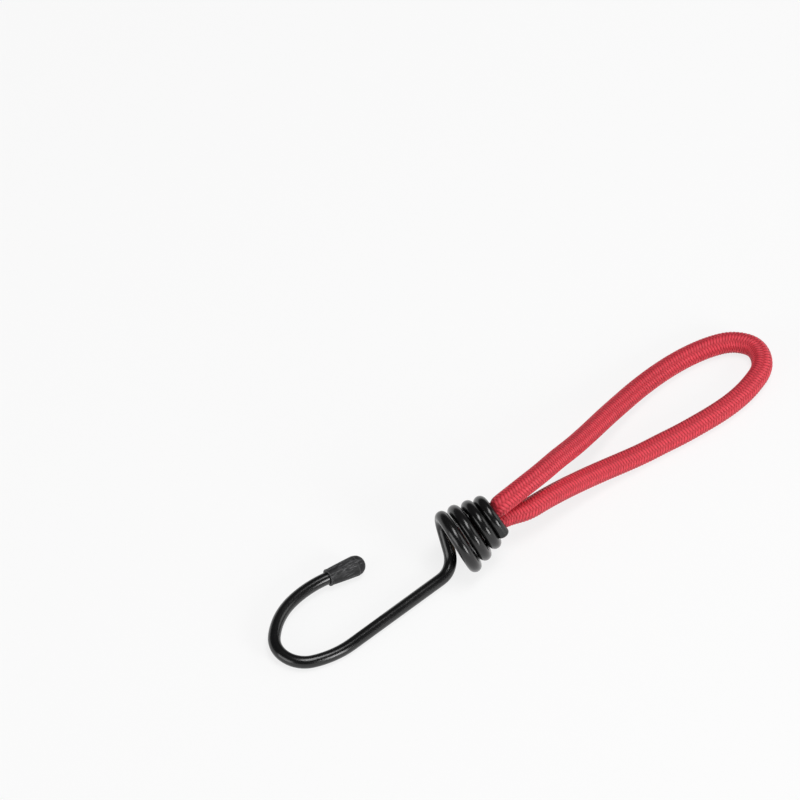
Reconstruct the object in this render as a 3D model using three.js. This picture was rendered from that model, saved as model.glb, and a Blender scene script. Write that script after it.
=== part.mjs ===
// Bungee cord: a loop of elastic cord whose two ends are gripped in the conical winding of a wire hook.
// Millimetres. The hook lies flat on z = 0, +X runs from the hook's bend along the shank to the loop,
// and the capped tip lies on the +Y side. The origin is the middle of the hook's footprint.
import * as THREE from "three";

// Hook wire
const wireDiameter = 4.9;
const wireSides = 8;
const wireRadius = wireDiameter / 2;

// Conical winding, counted in turns from the top of its widest turn towards the loop
const wideTurnRadius = 11.8;
const narrowTurnRadius = 6.8;
const narrowingPerTurn = 1.49;
const turnGap = 0.65;
const windingPitch = wireDiameter + turnGap;
const windingTurns = 3.165;
const leadInTurns = 0.085;
const stepsPerTurn = 24;
const windingHeading = -10.7;
const windingRise = 14;
const turnHeading = -22.6;
const turnRise = 18;
const groundClearance = 0.25;

// Shank, and the crossing that leads to it from the top of the widest turn
const shankOffset = -2.66;
const crossingReach = 6.6;
const crossingFoot = -3.95;
const footBendRadius = 9;
const shankLength = 55;
const bendStepDegrees = 11;

// Hook bend: radius and sweep of each arc, from the shank round to the tip
const leadRadius = 38.6;
const bendRadius = 11.2;
const backRadius = 32.6;
const tipRadius = 49.8;
const hookArcs = [
  { radius: leadRadius, sweep: 26.1 },
  { radius: bendRadius, sweep: 111.3 },
  { radius: backRadius, sweep: 34.4 },
  { radius: tipRadius, sweep: 21.4 },
];

// Tip cap
const capLength = 16.2;
const fitClearance = 0.3;
const capWall = 0.55;
const capBoreRadius = wireRadius + fitClearance;
const capMouthRadius = capBoreRadius + capWall;
const capDomeRadius = 4.05;
const capLipLength = 0.9;
const capLipHeight = 0.25;
const capBoreDepth = 11.5;
const capSides = 16;
const capDomeSteps = 7;

// Elastic cord: braided sheath round a core of latex strands
const cordDiameter = 8;
const sheathWall = 0.75;
const sheathSides = 12;
const strandSides = 6;
const strandsAroundCore = 6;
const strandGap = 0.2;
const cordRadius = cordDiameter / 2;
const boreRadius = cordRadius - sheathWall;
const strandDiameter = (2 * boreRadius * Math.cos(Math.PI / sheathSides) - 4 * strandGap) / 3;

// Crimp band round both cord ends
const bandStation = 3;
const bandWidth = 3.2;
const bandThickness = 0.9;
const bandClearance = 0.25;
const bandEndSteps = 8;
const bandToWideTurn = 2.65;

// Cord ends in the winding, measured along its axis from the widest turn
const cordEndStation = 1.6;
const clampedUntil = 7;
const squeezedFrom = 14.5;
const squeezedUntil = 18.6;
const freeFrom = 22.6;
const legGap = 0.3;
const bandRadius = wideTurnRadius - wireRadius - bandToWideTurn;
const clampedHalfHeight = (bandRadius - bandThickness - bandClearance - legGap / 2) / 2;
const clampedWidthToHeight = 1.37;
const clampedHalfWidth = clampedHalfHeight * clampedWidthToHeight;
const gripClearance = 0.4;
const squeezedHalfHeight = (narrowTurnRadius - wireRadius - gripClearance - legGap / 2) / 2;
const squeezedWidthToHeight = 1.55;
const squeezedHalfWidth = squeezedHalfHeight * squeezedWidthToHeight;
const innerRingStep = 3;
const freeRingStep = 5.5;

// Route of the loop's centre line outside the winding, from the upper leg round to the lower leg
const loopRoute = [
  [31.4, -4.1, 22.9],
  [41.7, -3.5, 22.6],
  [52.7, -1.2, 20.2],
  [64.2, 1.5, 16.6],
  [76.1, 4.8, 13],
  [87.9, 8.0, 10],
  [99.2, 10.6, 7.5],
  [110.0, 12.5, 5.8],
  [120.3, 13.4, 4.7],
  [130.0, 13.3, 4.1],
  [139.1, 12.1, 3.9],
  [147.6, 9.7, 3.9],
  [155.1, 5.6, 3.9],
  [159.2, -2.4, 3.9],
  [154.2, -11.4, 3.9],
  [143.8, -15.4, 3.9],
  [134.0, -16.8, 3.9],
  [124.6, -16.7, 3.9],
  [115.4, -15.8, 3.9],
  [106.4, -14.6, 3.9],
  [97.5, -13.0, 3.95],
  [88.5, -11.6, 4.2],
  [79.2, -10.1, 5.1],
  [69.8, -8.8, 6.5],
  [59.9, -8.1, 8.5],
  [49.5, -7.9, 10.9],
  [38.4, -7.7, 12.8],
  [30.5, -7.1, 13.1],
];

const coatedSteel = new THREE.MeshStandardMaterial({ color: 0x232324, roughness: 0.3, metalness: 0 });
const softCap = new THREE.MeshStandardMaterial({ color: 0x2c2c2d, roughness: 0.8, metalness: 0 });
const redBraid = new THREE.MeshStandardMaterial({ color: 0xd43a48, roughness: 0.85, metalness: 0 });
const paleLatex = new THREE.MeshStandardMaterial({ color: 0xd9c9a3, roughness: 0.7, metalness: 0 });
const zincSteel = new THREE.MeshStandardMaterial({ color: 0x9b9ea2, roughness: 0.4, metalness: 1 });

const up = new THREE.Vector3(0, 0, 1);
const radians = THREE.MathUtils.degToRad;
const fullTurn = 2 * Math.PI;

// Height of a faceted tube's axis when one of its flats lies on the ground.
function restHeight(radius, sides) {
  return radius * Math.cos(Math.PI / sides);
}

function direction(headingDegrees, riseDegrees) {
  const rise = radians(riseDegrees);
  const heading = radians(headingDegrees);
  return new THREE.Vector3(
    Math.cos(heading) * Math.cos(rise),
    Math.sin(heading) * Math.cos(rise),
    Math.sin(rise),
  );
}

function along(start, ...moves) {
  const place = start.clone();
  for (const [vector, length] of moves) place.addScaledVector(vector, length);
  return place;
}

// Corners of a regular section, one flat facing down, at a place in the tube's own section plane.
function ringCorners(radius, sides, centreX = 0, centreY = 0) {
  return Array.from({ length: sides }, (unused, i) => {
    const angle = ((i + 0.5) / sides) * fullTurn - Math.PI / 2;
    return [centreX + radius * Math.cos(angle), centreY + radius * Math.sin(angle)];
  });
}

// Places a section's corners at a station, which has a centre, an across and an upward vector.
function placeRing(corners, station) {
  return corners.map(([x, y]) => along(station.centre, [station.across, x], [station.upward, y]));
}

// Closed surface over lofts of rings. A second loft is a bore: its faces turn inwards.
function loftSurface(outerRings, boreRings) {
  const vertices = [];
  const faces = [];
  const sides = outerRings[0].length;
  const addLoft = (rings, inward) => {
    const first = vertices.length;
    rings.forEach((ring) => vertices.push(...ring));
    for (let r = 0; r + 1 < rings.length; r++) {
      for (let i = 0; i < sides; i++) {
        const a = first + r * sides + i;
        const b = first + r * sides + ((i + 1) % sides);
        const quad = [a, b, b + sides, a + sides];
        if (inward) quad.reverse();
        faces.push(quad[0], quad[1], quad[2], quad[0], quad[2], quad[3]);
      }
    }
    return first;
  };
  const outer = addLoft(outerRings, false);
  const lastRing = (outerRings.length - 1) * sides;
  if (boreRings) {
    const bore = addLoft(boreRings, true);
    for (let i = 0; i < sides; i++) {
      const next = (i + 1) % sides;
      faces.push(outer + i, bore + i, bore + next, outer + i, bore + next, outer + next);
      const [a, b] = [lastRing + i, lastRing + next];
      faces.push(outer + a, outer + b, bore + b, outer + a, bore + b, bore + a);
    }
  } else {
    for (let i = 1; i + 1 < sides; i++) {
      faces.push(outer, outer + i + 1, outer + i);
      faces.push(outer + lastRing, outer + lastRing + i, outer + lastRing + i + 1);
    }
  }
  const geometry = new THREE.BufferGeometry().setFromPoints(vertices);
  geometry.setIndex(faces);
  geometry.computeVertexNormals();
  return geometry;
}

// Winding frame: its centre line, and the plane in which each turn lies
const windingAxis = direction(windingHeading, windingRise);
const turnNormal = direction(turnHeading, turnRise);
const turnSide = new THREE.Vector3().crossVectors(up, turnNormal).normalize();
const turnTop = new THREE.Vector3().crossVectors(turnNormal, turnSide);
const windingCentre = new THREE.Vector3();
const wireRest = restHeight(wireRadius, wireSides);

function windingPoint(turns) {
  const radius = Math.max(wideTurnRadius - narrowingPerTurn * turns, narrowTurnRadius);
  const angle = turns * fullTurn;
  return along(
    windingCentre,
    [windingAxis, turns * windingPitch],
    [turnTop, Math.cos(angle) * radius],
    [turnSide, -Math.sin(angle) * radius],
  );
}

// The winding is raised until its lowest turn just clears the ground.
const windingSteps = Math.round((windingTurns + leadInTurns) * stepsPerTurn);
const windingHeights = Array.from({ length: windingSteps }, (unused, i) => windingPoint(i / stepsPerTurn).z);
windingCentre.setZ(wireRest + groundClearance - Math.min(...windingHeights));

// Points of an arc that rounds the corner between two straight runs.
function roundedCorner(before, corner, after, size) {
  const back = before.clone().sub(corner).normalize();
  const onward = after.clone().sub(corner).normalize();
  const opening = back.angleTo(onward);
  const radius = size.radius ?? size.reach * Math.tan(opening / 2);
  const reach = size.reach ?? size.radius / Math.tan(opening / 2);
  const middle = back.clone().add(onward).normalize();
  const centre = along(corner, [middle, radius / Math.sin(opening / 2)]);
  const spoke = along(corner, [back, reach]).sub(centre);
  const pivot = new THREE.Vector3().crossVectors(onward, back).normalize();
  const sweep = Math.PI - opening;
  const steps = Math.ceil(sweep / radians(2 * bendStepDegrees));
  return Array.from({ length: steps + 1 }, (unused, i) =>
    spoke.clone().applyAxisAngle(pivot, (sweep * i) / steps).add(centre),
  );
}

// Flat outline of the hook bend, in its own plane, from the end of the shank to the start of the cap.
function hookOutline() {
  const points = [new THREE.Vector2(crossingFoot - shankLength, 0)];
  let heading = Math.PI;
  for (const { radius, sweep } of hookArcs) {
    const steps = Math.ceil(sweep / bendStepDegrees);
    const turn = radians(sweep) / steps;
    for (let i = 0; i < steps; i++) {
      heading -= turn / 2;
      const chord = 2 * radius * Math.sin(turn / 2);
      const last = points[points.length - 1];
      points.push(new THREE.Vector2(Math.cos(heading), Math.sin(heading)).multiplyScalar(chord).add(last));
      heading -= turn / 2;
    }
  }
  return { points, tip: new THREE.Vector2(Math.cos(heading), Math.sin(heading)) };
}

// The hook's plane leans so that the cap's dome rests on the ground as the shank does.
const outline = hookOutline();
const mouth2d = outline.points[outline.points.length - 1];
const dome2d = outline.tip.clone().multiplyScalar(capLength - capDomeRadius).add(mouth2d);
const hookLean = Math.asin((restHeight(capDomeRadius, capSides) - wireRest) / dome2d.y);

function liftToHookPlane(point) {
  return new THREE.Vector3(
    point.x,
    shankOffset + point.y * Math.cos(hookLean),
    wireRest + point.y * Math.sin(hookLean),
  );
}

const capMouth = liftToHookPlane(mouth2d);
const capAxis = liftToHookPlane(mouth2d.clone().add(outline.tip)).sub(capMouth);

// Centre line of the whole wire, from its free end in the narrow mouth to its end inside the cap.
function wireCentreLine() {
  const points = [];
  const narrowEnd = windingPoint(windingTurns);
  const beyond = narrowEnd.clone().sub(windingPoint(windingTurns - 1 / stepsPerTurn / 2)).normalize();
  points.push(along(narrowEnd, [beyond, wireDiameter]));
  for (let i = 0; i <= windingSteps; i++) {
    points.push(windingPoint(windingTurns - ((windingTurns + leadInTurns) * i) / windingSteps));
  }
  const leaving = points[points.length - 1];
  const onward = windingPoint(-leadInTurns - 1 / stepsPerTurn / 4).sub(leaving).normalize();
  const crossingTop = along(leaving, [onward, crossingReach]);
  const crossingBase = new THREE.Vector3(crossingFoot, shankOffset, wireRest);
  const bend = outline.points.map(liftToHookPlane);
  points.push(...roundedCorner(leaving, crossingTop, crossingBase, { reach: crossingReach }).slice(1));
  points.push(...roundedCorner(crossingTop, crossingBase, bend[0], { radius: footBendRadius }));
  const shankStart = points.length - 1;
  points.push(...bend);
  points.push(along(capMouth, [capAxis, capBoreDepth - fitClearance]));
  return { points, shankStart };
}

// Stations with frames carried along the centre line without twist, level on the shank.
function wireStations({ points, shankStart }) {
  const tangents = points.map((point, i) => {
    const before = points[Math.max(i - 1, 0)];
    const after = points[Math.min(i + 1, points.length - 1)];
    const arriving = point.clone().sub(before).normalize();
    return after.clone().sub(point).normalize().add(arriving).normalize();
  });
  tangents[shankStart].subVectors(points[shankStart + 1], points[shankStart]).normalize();
  const upwards = new Array(points.length);
  upwards[shankStart] = up.clone();
  const carry = (from, to) => {
    const turn = new THREE.Quaternion().setFromUnitVectors(tangents[from], tangents[to]);
    upwards[to] = upwards[from].clone().applyQuaternion(turn);
  };
  for (let i = shankStart; i + 1 < points.length; i++) carry(i, i + 1);
  for (let i = shankStart; i > 0; i--) carry(i, i - 1);
  return points.map((centre, i) => ({
    centre,
    across: new THREE.Vector3().crossVectors(upwards[i], tangents[i]),
    upward: upwards[i],
  }));
}

function leastGapBetweenTurns(points) {
  const curve = new THREE.CatmullRomCurve3(points);
  const spacing = wireRadius / 4;
  const samples = curve.getSpacedPoints(Math.round(curve.getLength() / spacing));
  const apart = Math.ceil((Math.PI * narrowTurnRadius) / spacing);
  let least = Infinity;
  for (let i = 0; i < samples.length; i++) {
    for (let j = i + apart; j < samples.length; j++) {
      least = Math.min(least, samples[i].distanceTo(samples[j]));
    }
  }
  return least - wireDiameter;
}

function hookWire() {
  const centreLine = wireCentreLine();
  console.log("least gap of the winding to itself, mm:", leastGapBetweenTurns(centreLine.points).toFixed(2));
  const corners = ringCorners(wireRadius, wireSides);
  return loftSurface(wireStations(centreLine).map((station) => placeRing(corners, station)));
}

// The cap is turned about its own Y axis, then laid along the tip.
function tipCap() {
  const domeCentre = capLength - capDomeRadius;
  const profile = [
    new THREE.Vector2(0, capBoreDepth),
    new THREE.Vector2(capBoreRadius, capBoreDepth),
    new THREE.Vector2(capBoreRadius, 0),
    new THREE.Vector2(capMouthRadius, 0),
    new THREE.Vector2(capMouthRadius, capLipLength),
    new THREE.Vector2(capMouthRadius - capLipHeight, capLipLength),
  ];
  for (let i = 0; i < capDomeSteps; i++) {
    const angle = (i / capDomeSteps) * (Math.PI / 2);
    const rim = new THREE.Vector2(Math.cos(angle), Math.sin(angle)).multiplyScalar(capDomeRadius);
    profile.push(new THREE.Vector2(rim.x, domeCentre + rim.y));
  }
  profile.push(new THREE.Vector2(0, capLength));
  const geometry = new THREE.LatheGeometry(profile, capSides, Math.PI / capSides);
  const across = new THREE.Vector3().crossVectors(capAxis, up).normalize();
  const upward = new THREE.Vector3().crossVectors(across, capAxis);
  geometry.applyMatrix4(new THREE.Matrix4().makeBasis(across, capAxis, upward).setPosition(capMouth));
  return geometry;
}

// Frame of the cord ends: both legs lie on the winding's axis, one over the other.
const endAcross = new THREE.Vector3().crossVectors(windingAxis, up).normalize();
const endUpward = new THREE.Vector3().crossVectors(endAcross, windingAxis);

// Half height and half width of the cord at a distance along the winding's axis.
function cordHalfSizes(station) {
  const blend = THREE.MathUtils.smoothstep(station, squeezedUntil, freeFrom);
  const grip = THREE.MathUtils.clamp((station - clampedUntil) / (squeezedFrom - clampedUntil), 0, 1);
  const lerp = THREE.MathUtils.lerp;
  return {
    height: lerp(lerp(clampedHalfHeight, squeezedHalfHeight, grip), cordRadius, blend),
    width: lerp(lerp(clampedHalfWidth, squeezedHalfWidth, grip), cordRadius, blend),
  };
}

// Centre of one leg inside the winding; side is 1 for the upper leg and -1 for the lower one.
function legPoint(station, side) {
  const lift = side * (cordHalfSizes(station).height + legGap / 2);
  return along(windingCentre, [windingAxis, station], [endUpward, lift]);
}

function cordStations() {
  const innerCount = Math.ceil((freeFrom - cordEndStation) / innerRingStep);
  const inner = Array.from(
    { length: innerCount + 1 },
    (unused, i) => cordEndStation + ((freeFrom - cordEndStation) * i) / innerCount,
  );
  const upperLeg = inner.map((station) => legPoint(station, 1));
  const lowerLeg = inner.map((station) => legPoint(station, -1)).reverse();
  const free = loopRoute.map(([x, y, z]) => new THREE.Vector3(x, y, z));
  const knots = [upperLeg[innerCount], ...free, lowerLeg[0]];
  const route = new THREE.CatmullRomCurve3(knots, false, "centripetal");
  const freeCount = Math.round(route.getLength() / freeRingStep);
  const freePoints = route.getSpacedPoints(freeCount).slice(1, -1);
  const points = [...upperLeg, ...freePoints, ...lowerLeg];
  const stations = [...inner, ...freePoints.map(() => freeFrom), ...inner.slice().reverse()];
  console.log("cord length, mm:", new THREE.CatmullRomCurve3(points).getLength().toFixed(0));
  return points.map((centre, i) => {
    const before = points[Math.max(i - 1, 0)];
    const after = points[Math.min(i + 1, points.length - 1)];
    const inside = stations[i] < squeezedUntil;
    const forward = after.clone().sub(before).normalize();
    if (inside) forward.copy(windingAxis).multiplyScalar(i < points.length / 2 ? 1 : -1);
    const across = new THREE.Vector3().crossVectors(up, forward).normalize();
    const upward = new THREE.Vector3().crossVectors(forward, across);
    const half = cordHalfSizes(stations[i]);
    return {
      centre,
      across: across.multiplyScalar(half.width / cordRadius),
      upward: upward.multiplyScalar(half.height / cordRadius),
    };
  });
}

const cordRings = cordStations();

function cordSheath() {
  const outer = ringCorners(cordRadius, sheathSides);
  const bore = ringCorners(boreRadius, sheathSides);
  const loft = (corners) => cordRings.map((station) => placeRing(corners, station));
  return loftSurface(loft(outer), loft(bore));
}

function coreStrand(number) {
  const ringRadius = number === 0 ? 0 : strandDiameter + strandGap;
  const angle = (number / strandsAroundCore) * fullTurn;
  const corners = ringCorners(
    strandDiameter / 2,
    strandSides,
    ringRadius * Math.cos(angle),
    ringRadius * Math.sin(angle),
  );
  return loftSurface(cordRings.map((station) => placeRing(corners, station)));
}

// Flat band bent round both legs: straight sides, and ends that follow each leg's squeezed section.
function crimpBand() {
  const legCentre = clampedHalfHeight + legGap / 2;
  const outline2d = (Path, growth) => {
    const path = new Path();
    const halfWidth = clampedHalfWidth + growth;
    const halfHeight = clampedHalfHeight + growth;
    path.absellipse(0, legCentre, halfWidth, halfHeight, 0, Math.PI, false, 0);
    path.absellipse(0, -legCentre, halfWidth, halfHeight, Math.PI, fullTurn, false, 0);
    path.closePath();
    return path;
  };
  const shape = outline2d(THREE.Shape, bandClearance + bandThickness);
  shape.holes.push(outline2d(THREE.Path, bandClearance));
  const geometry = new THREE.ExtrudeGeometry(shape, {
    depth: bandWidth,
    bevelEnabled: false,
    curveSegments: bandEndSteps,
  });
  const place = along(windingCentre, [windingAxis, bandStation]);
  const sideways = new THREE.Vector3().crossVectors(endUpward, windingAxis);
  geometry.applyMatrix4(new THREE.Matrix4().makeBasis(sideways, endUpward, windingAxis).setPosition(place));
  return geometry;
}

function piece(name, geometry, material) {
  const mesh = new THREE.Mesh(geometry, material);
  mesh.name = name;
  return mesh;
}

const hook = new THREE.Group();
hook.add(piece("hook_wire", hookWire(), coatedSteel));
hook.add(piece("tip_cap", tipCap(), softCap));

const cord = new THREE.Group();
cord.add(piece("crimp_band", crimpBand(), zincSteel));
cord.add(piece("cord_sheath", cordSheath(), redBraid));
for (let number = 0; number <= strandsAroundCore; number++) {
  cord.add(piece(`core_strand_${number + 1}`, coreStrand(number), paleLatex));
}

// The origin lies under the middle of the hook and the band.
const footprint = new THREE.Box3().setFromObject(hook);
footprint.expandByObject(cord.getObjectByName("crimp_band"));
const middle = footprint.getCenter(new THREE.Vector3());

const bungeeCord = new THREE.Group();
bungeeCord.add(hook, cord);
bungeeCord.position.set(-middle.x, -middle.y, 0);

export default bungeeCord;
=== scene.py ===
import math
import bpy
import numpy as np
from mathutils import Matrix, Vector


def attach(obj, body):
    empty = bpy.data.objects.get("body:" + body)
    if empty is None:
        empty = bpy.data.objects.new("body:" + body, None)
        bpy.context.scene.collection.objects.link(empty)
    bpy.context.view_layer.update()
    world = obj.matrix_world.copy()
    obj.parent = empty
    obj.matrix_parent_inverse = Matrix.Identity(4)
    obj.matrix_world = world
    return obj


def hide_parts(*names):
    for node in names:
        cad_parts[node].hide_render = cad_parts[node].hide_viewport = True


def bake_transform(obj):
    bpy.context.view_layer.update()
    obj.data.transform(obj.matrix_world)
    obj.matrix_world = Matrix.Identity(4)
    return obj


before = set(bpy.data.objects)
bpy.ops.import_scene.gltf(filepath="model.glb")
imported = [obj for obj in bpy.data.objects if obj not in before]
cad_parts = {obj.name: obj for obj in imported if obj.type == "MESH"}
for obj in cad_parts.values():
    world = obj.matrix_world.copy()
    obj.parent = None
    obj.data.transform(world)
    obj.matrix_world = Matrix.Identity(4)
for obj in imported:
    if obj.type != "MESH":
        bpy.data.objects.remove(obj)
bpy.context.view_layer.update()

mm = 0.001  # everything is in metres
fullTurn = 2 * math.pi
up = np.array([0.0, 0.0, 1.0])
scene = bpy.context.scene
scene.view_settings.view_transform = "Standard"


def vec(x, y, z):
    return np.array([x, y, z], float)


def unit(v):
    return v / np.linalg.norm(v, axis=-1, keepdims=True)


def direction(headingDegrees, riseDegrees):
    heading, rise = math.radians(headingDegrees), math.radians(riseDegrees)
    return vec(math.cos(heading) * math.cos(rise), math.sin(heading) * math.cos(rise), math.sin(rise))


def turned(v, pivot, angle):
    return np.array(Matrix.Rotation(angle, 3, Vector(pivot)) @ Vector(v))


def smoothstep(x, low, high):
    t = np.clip((x - low) / (high - low), 0, 1)
    return t * t * (3 - 2 * t)


def lengthsAlong(points):
    return np.concatenate([[0], np.cumsum(np.linalg.norm(np.diff(points, axis=0), axis=1))])


def resampled(points, spacing):
    places = lengthsAlong(points)
    count = max(2, round(places[-1] / spacing))
    wanted = np.linspace(0, places[-1], count + 1)
    return np.stack([np.interp(wanted, places, points[:, i]) for i in range(3)], axis=1)


def smoothed(points, spacing, sigma):  # a blur along the line that leaves both ends in place
    reach = int(4 * sigma / spacing)
    kernel = np.exp(-0.5 * (np.arange(-reach, reach + 1) * spacing / sigma) ** 2)
    kernel /= kernel.sum()
    before = 2 * points[0] - points[reach:0:-1]
    after = 2 * points[-1] - points[-2:-reach - 2:-1]
    padded = np.concatenate([before, points, after])
    return np.stack([np.convolve(padded[:, i], kernel, "valid") for i in range(3)], axis=1)


def throughPoints(points, perSpan):  # centripetal spline, as the CAD route is
    points = np.concatenate([[2 * points[0] - points[1]], points, [2 * points[-1] - points[-2]]])
    made = []
    for p0, p1, p2, p3 in zip(points, points[1:], points[2:], points[3:]):
        d0, d1, d2 = (np.linalg.norm(b - a) ** 0.5 for a, b in ((p0, p1), (p1, p2), (p2, p3)))
        t1 = ((p1 - p0) / d0 - (p2 - p0) / (d0 + d1) + (p2 - p1) / d1) * d1
        t2 = ((p2 - p1) / d1 - (p3 - p1) / (d1 + d2) + (p3 - p2) / d2) * d1
        t = np.linspace(0, 1, perSpan, endpoint=False)[:, None]
        cubed, squared = 2 * p1 - 2 * p2 + t1 + t2, -3 * p1 + 3 * p2 - 2 * t1 - t2
        made.append(cubed * t ** 3 + squared * t ** 2 + t1 * t + p1)
    return np.concatenate(made + [points[-2:-1]])


def tangentsOf(points):
    return unit(np.gradient(points, axis=0))


def shellFaces(rings, sides, first=0, inward=False):
    r, i = np.meshgrid(np.arange(rings - 1), np.arange(sides), indexing="ij")
    a = first + r * sides + i
    b = first + r * sides + (i + 1) % sides
    quads = np.stack([a, b, b + sides, a + sides], axis=-1).reshape(-1, 4)
    return quads[:, ::-1] if inward else quads


def meshObject(name, vertices, faces, smooth=True):
    mesh = bpy.data.meshes.new(name)
    mesh.from_pydata(np.asarray(vertices).tolist(), [], [list(map(int, f)) for f in faces])
    mesh.validate()
    if smooth:
        mesh.shade_smooth()
    piece = bpy.data.objects.new(name, mesh)
    scene.collection.objects.link(piece)
    return piece


def tubeObject(name, rings):  # a closed tube over rings of corners
    count, sides = rings.shape[:2]
    faces = shellFaces(count, sides).tolist()
    faces.append(list(range(sides))[::-1])
    faces.append(list(range((count - 1) * sides, count * sides)))
    return meshObject(name, rings.reshape(-1, 3), faces)


def material(name, finish):
    made = bpy.data.materials.new(name)
    made.use_nodes = True
    made.diffuse_color = (*finish["color"], 1)
    shader = made.node_tree.nodes["Principled BSDF"]
    shader.inputs["Base Color"].default_value = (*finish["color"], 1)
    shader.inputs["Roughness"].default_value = finish["roughness"]
    shader.inputs["Specular IOR Level"].default_value = finish["specular"]
    return made, Nodes(made.node_tree), shader


class Nodes:  # short ways to add and join shader nodes
    def __init__(self, tree):
        self.tree = tree

    def add(self, kind, **settings):
        node = self.tree.nodes.new("ShaderNode" + kind)
        for key, value in settings.items():
            setattr(node, key, value)
        return node

    def plug(self, source, socket):
        if isinstance(source, bpy.types.NodeSocket):
            self.tree.links.new(source, socket)
        else:
            socket.default_value = source

    def math(self, operation, a, b=0.0):
        node = self.add("Math", operation=operation)
        self.plug(a, node.inputs[0])
        self.plug(b, node.inputs[1])
        return node.outputs[0]

    def place(self):
        return self.add("TexCoord").outputs["Object"]

    def stretched(self, place, scale):
        node = self.add("Mapping")
        self.plug(place, node.inputs["Vector"])
        node.inputs["Scale"].default_value = scale
        return node.outputs[0]

    def noise(self, place, size, detail=3.0, roughness=0.55):
        node = self.add("TexNoise")
        self.plug(place, node.inputs["Vector"])
        node.inputs["Scale"].default_value = 1 / size
        node.inputs["Detail"].default_value = detail
        node.inputs["Roughness"].default_value = roughness
        return node.outputs["Fac"]

    def ramp(self, value, *stops):
        node = self.add("ValToRGB")
        self.plug(value, node.inputs[0])
        elements = node.color_ramp.elements
        while len(elements) < len(stops):
            elements.new(0.5)
        for element, (at, color) in zip(elements, stops):
            element.position = at
            element.color = (*color, 1) if isinstance(color, tuple) else (color, color, color, 1)
        return node.outputs[0]

    def span(self, value, low, high, start=0.0, end=1.0):
        node = self.add("MapRange")
        self.plug(value, node.inputs[0])
        for socket, number in zip(node.inputs[1:5], (low, high, start, end)):
            socket.default_value = number
        return node.outputs[0]

    def mix(self, factor, a, b, blend="MIX"):
        node = self.add("Mix", data_type="RGBA", blend_type=blend)
        for source, socket in ((factor, node.inputs[0]), (a, node.inputs[6]), (b, node.inputs[7])):
            if isinstance(source, tuple):
                source = (*source, 1)
            self.plug(source, socket)
        return node.outputs[2]

    def either(self, switch, a, b):  # a where the switch is 0, b where it is 1
        node = self.add("Mix", data_type="FLOAT")
        self.plug(switch, node.inputs[0])
        self.plug(a, node.inputs[2])
        self.plug(b, node.inputs[3])
        return node.outputs[0]

    def bump(self, height, distance, strength=1.0, under=None):
        node = self.add("Bump")
        self.plug(height, node.inputs["Height"])
        node.inputs["Distance"].default_value = distance
        node.inputs["Strength"].default_value = strength
        if under:
            self.plug(under, node.inputs["Normal"])
        return node.outputs[0]


def dress(piece, made):
    piece.data.materials.clear()
    piece.data.materials.append(made)


view = {
    "azimuth": -44.6,
    "elevation": 47.0,
    "frameWidth": 306.4 * mm,
    "lens": 1000.0,  # a long lens, since the legs show no perspective
    "sensor": 36.0,
    "middle": vec(76.986, 67.816, 0) * mm,
    "nearer": 42 * mm,  # the frame's width is measured this much nearer than the middle
    "clip": (0.1, 40.0),
}


def addCamera():
    azimuth, elevation = math.radians(view["azimuth"]), math.radians(view["elevation"])
    back = vec(
        math.sin(azimuth) * math.cos(elevation),
        -math.cos(azimuth) * math.cos(elevation),
        math.sin(elevation),
    )
    data = bpy.data.cameras.new("camera")
    data.lens = view["lens"]
    data.sensor_width = view["sensor"]
    data.clip_start, data.clip_end = view["clip"]
    camera = bpy.data.objects.new("camera", data)
    distance = view["frameWidth"] * view["lens"] / view["sensor"]
    camera.location = Vector(view["middle"] + back * (view["nearer"] + distance))
    camera.rotation_mode = "QUATERNION"
    camera.rotation_quaternion = Vector(-back).to_track_quat("-Z", "Y")
    scene.collection.objects.link(camera)
    scene.camera = camera


addCamera()
print("stage: camera")

frameShift = vec(32.1128, -8.6818, 0) * mm  # where the middle of the first turn stands
wire = {
    "diameter": 4.9 * mm,
    "cadSides": 8,
    "sides": 32,
    "spacing": 0.5 * mm,
    "smoothing": 0.9 * mm,
    "endRounding": 1.3 * mm,
    "endRings": 9,
    "endGap": 0.2 * mm,  # least step from the rounded end to the next ring
    "endSteps": 8,
}
winding = {
    "wideRadius": 11.8 * mm,
    "narrowRadius": 6.8 * mm,
    "narrowing": 1.49 * mm,
    "pitch": 5.55 * mm,
    "turns": 3.165,
    "leadIn": 0.085,
    "heading": -10.7,  # degrees, like the three below
    "rise": 14,
    "turnHeading": -22.6,
    "turnRise": 18,
    "groundClearance": 0.25 * mm,
    "cadStepsPerTurn": 24,
    "stepsPerTurn": 96,
    "closingFrom": 2.3,  # from here on the turns close up, nearer to touching than the CAD wire may
    "closing": 0.75 * mm,
    "widening": 0.25 * mm,
    "endRun": 0.03,
    "swelling": 0.1 * mm,  # added to the wire's radius in the turns
    "swellingFade": 8 * mm,
    "roomFrom": -4 * mm,  # where along the axis the room in the turns is measured
    "roomUntil": 24 * mm,
    "roomStep": 0.1 * mm,
    "openRoom": 1.0,  # metres, where no turn is near
}
wireRadius = wire["diameter"] / 2
wireRest = wireRadius * math.cos(math.pi / wire["cadSides"])
windingAxis = direction(winding["heading"], winding["rise"])
turnNormal = direction(winding["turnHeading"], winding["turnRise"])
turnSide = unit(np.cross(up, turnNormal))
turnTop = np.cross(turnNormal, turnSide)
windingCentre = vec(0, 0, 0)


def inFrame(points):
    return np.asarray(points) + frameShift


def windingPoint(turns):
    last = smoothstep(turns, winding["closingFrom"], winding["turns"])
    radius = max(winding["wideRadius"] - winding["narrowing"] * turns, winding["narrowRadius"])
    radius += winding["widening"] * last
    angle = turns * fullTurn
    return (
        windingCentre
        + windingAxis * (turns * winding["pitch"] - winding["closing"] * last)
        + turnTop * math.cos(angle) * radius
        - turnSide * math.sin(angle) * radius
    )


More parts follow.
